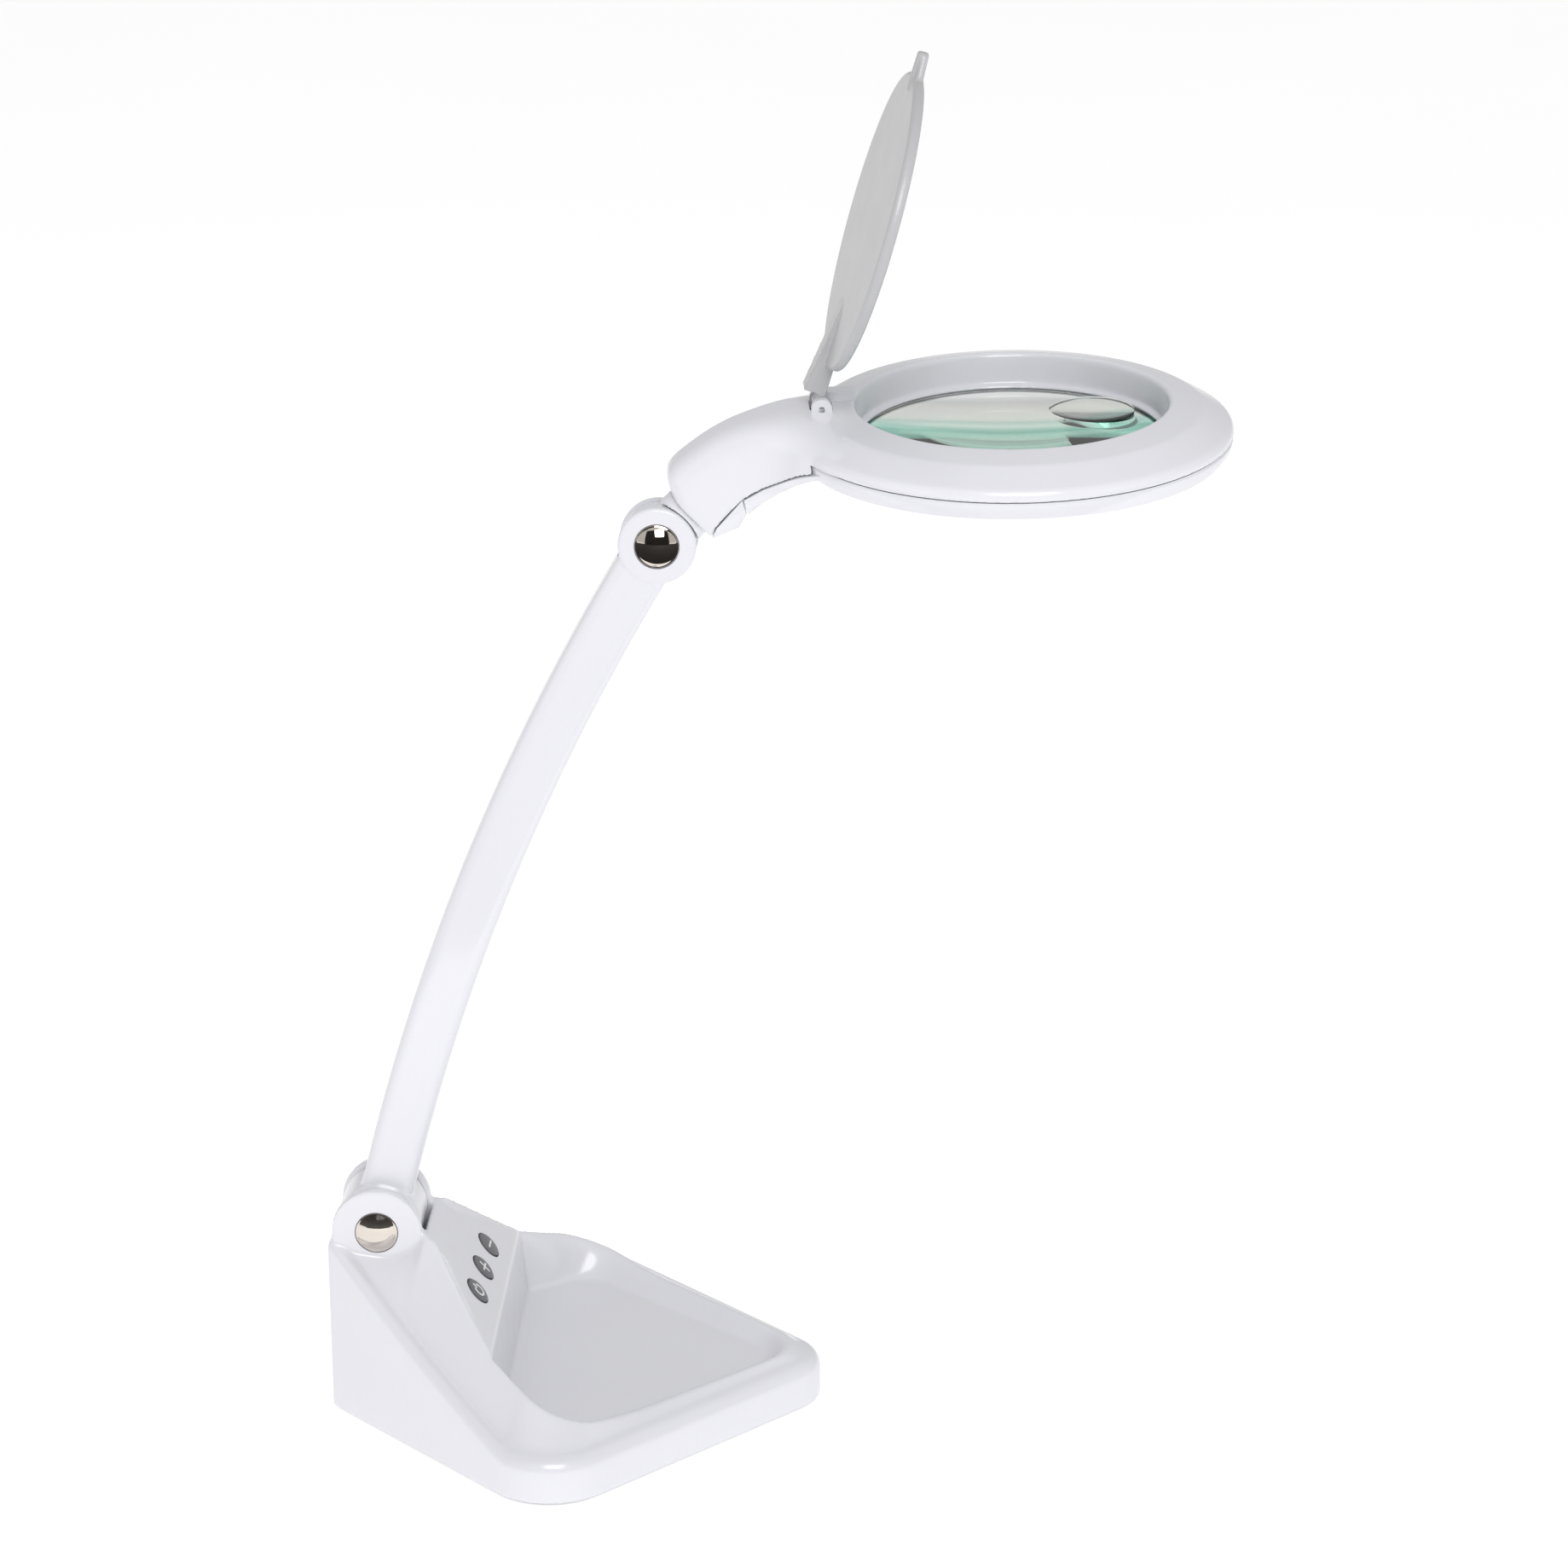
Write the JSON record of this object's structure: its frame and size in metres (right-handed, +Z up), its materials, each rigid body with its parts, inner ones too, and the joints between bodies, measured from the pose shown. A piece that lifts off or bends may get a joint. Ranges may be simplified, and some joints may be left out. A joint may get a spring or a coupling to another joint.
{
  "type": "illuminated magnifier lamp",
  "caption": "White desk magnifying lamp: round glass lens in a lighted ring with a hinged lid, on a curved arm over a tray base with buttons.",
  "frame": {"origin": "On the desk surface, straight below the lower hinge, on the lamp's middle plane.", "axes": "+Z up from the desk; -Y forward, from the column towards the front of the tray; +X is the lamp's left as seen facing its buttons from behind, the side opposite the power button."},
  "size_m": [0.1782, 0.3124, 0.4834],
  "materials": {
    "white_plastic": "glossy moulded white, faintly cool",
    "lid_plastic": "glossy moulded light grey-white",
    "grey_plastic": "fine satin texture",
    "black_plastic": "fine satin texture",
    "grey_button": "satin with a printed white symbol",
    "circuit_board": "white solder resist",
    "frosted_cover": "frosted translucent",
    "crown_glass": "polished, faint green tint",
    "steel": "zinc plated",
    "chrome": "polished",
    "rubber": "matt"
  },
  "bodies": {
    "base": {"ballast_plate": "steel", "base_bottom_plate": "grey_plastic", "base_housing": "white_plastic", "base_screw_1": "steel", "base_screw_2": "steel", "base_screw_3": "steel", "base_screw_4": "steel", "control_board": "circuit_board", "dc_socket": "black_plastic", "foot_back": "rubber", "foot_front": "rubber", "foot_left": "rubber", "foot_right": "rubber", "lower_hinge_bolt": "steel", "lower_hinge_cap_left": "chrome", "lower_hinge_cap_right": "chrome", "lower_hinge_nut": "steel", "lower_hinge_washer_left": "steel", "lower_hinge_washer_right": "steel", "tact_switch_1": "black_plastic", "tact_switch_2": "black_plastic", "tact_switch_3": "black_plastic"},
    "power_key": {"button_power": "grey_button"},
    "plus_key": {"button_plus": "grey_button"},
    "minus_key": {"button_minus": "grey_button"},
    "arm": {"arm_sleeve": "white_plastic", "arm_steel_bar": "steel", "arm_lead": "black_plastic", "upper_hinge_bolt": "steel", "upper_hinge_cap_left": "chrome", "upper_hinge_cap_right": "chrome", "upper_hinge_nut": "steel", "upper_hinge_washer_left": "steel", "upper_hinge_washer_right": "steel"},
    "knuckle": {"head_knuckle": "white_plastic", "swivel_clip": "steel"},
    "head": {"head_top_shell": "white_plastic", "head_bottom_shell": "white_plastic", "neck_cover": "white_plastic", "lens": "crown_glass", "reading_insert": "crown_glass", "led_board": "circuit_board", "led_diffuser": "frosted_cover", "led_driver_board": "circuit_board", "lid_hinge_pin": "steel"},
    "lid": {"lens_lid": "lid_plastic"}
  },
  "joints": [
    {"name": "arm_tilt", "type": "hinge", "parent": "base", "child": "arm", "pos_m": [0, 0, 0.0693], "axis": [1, 0, 0], "range_deg": [-20, 40]},
    {"name": "head_tilt", "type": "hinge", "parent": "arm", "child": "knuckle", "pos_m": [0, -0.1014, 0.3193], "axis": [1, 0, 0], "range_deg": [-50, 55]},
    {"name": "head_swivel", "type": "hinge", "parent": "knuckle", "child": "head", "pos_m": [0, -0.1014, 0.3193], "axis": [0, -0.708, 0.7062], "range_deg": [-66, 54]},
    {"name": "lid_hinge", "type": "hinge", "parent": "head", "child": "lid", "pos_m": [0.00054, -0.15628, 0.36721], "axis": [0.9937, 0.0788, 0.079], "range_deg": [-20, 72.3]},
    {"name": "power_press", "type": "slide", "parent": "base", "child": "power_key", "axis": [0, 0.7485, -0.6631], "range_m": [0, 0.0008], "stiffness_N_per_m": 450},
    {"name": "plus_press", "type": "slide", "parent": "base", "child": "plus_key", "axis": [0, 0.7485, -0.6631], "range_m": [0, 0.0008], "stiffness_N_per_m": 450},
    {"name": "minus_press", "type": "slide", "parent": "base", "child": "minus_key", "axis": [0, 0.7485, -0.6631], "range_m": [0, 0.0008], "stiffness_N_per_m": 450}
  ]
}
